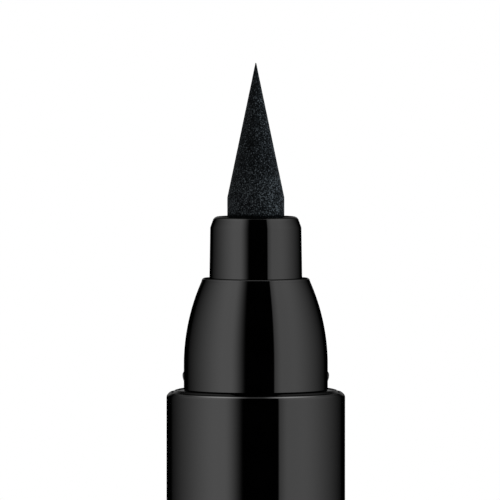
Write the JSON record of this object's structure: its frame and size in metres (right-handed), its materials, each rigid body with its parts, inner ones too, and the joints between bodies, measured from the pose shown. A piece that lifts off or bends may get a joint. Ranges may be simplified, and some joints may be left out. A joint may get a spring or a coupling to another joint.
{
  "type": "liquid eyeliner pen",
  "caption": "Slim black pen with a pointed felt nib, stepped collar, domed nose cone and ink tank barrel, posted on its cap.",
  "frame": {"origin": "middle of the flat closed end of the cap, which the pen stands on", "axes": "+Z along the pen's axis towards the point of the nib; the two snap nubs lie on +X and -X; the front is -Y"},
  "size_m": [0.01, 0.01, 0.1502],
  "materials": {
    "gloss_black": "moulded gloss black",
    "felt": "ink-soaked pressed fibre",
    "inner_plastic": "natural matte moulded",
    "wick_fibre": "bundled fibre",
    "seal": "soft matte",
    "spring_steel": "drawn wire",
    "ball_steel": "polished stainless"
  },
  "bodies": {
    "cap": {"cap_shell": "gloss_black", "cap_retaining_ring": "inner_plastic", "cap_spring": "spring_steel"},
    "inner_cap": {"inner_cap": "inner_plastic", "inner_cap_seal": "seal"},
    "pen": {"barrel": "gloss_black", "tail_plug": "gloss_black", "tail_plug_o_ring": "seal", "collector": "inner_plastic", "collector_o_ring": "seal", "relay_wick": "wick_fibre", "nose_cone": "gloss_black", "nib_holder": "gloss_black", "nib": "felt"},
    "ball": {"mixing_ball": "ball_steel"}
  },
  "joints": [
    {"name": "pen_pull", "type": "slide", "parent": "cap", "child": "pen", "axis": [0, 0, 1], "range_m": [0, 0.008]},
    {"name": "inner_cap_slide", "type": "slide", "parent": "cap", "child": "inner_cap", "axis": [0, 0, -1], "range_m": [0, 0.001], "stiffness_N_per_m": 150, "springref_m": -0.002, "deforming": ["cap_spring"]},
    {"name": "ball_roll", "type": "slide", "parent": "pen", "child": "ball", "axis": [0, 0, 1], "range_m": [0, 0.0543]}
  ]
}
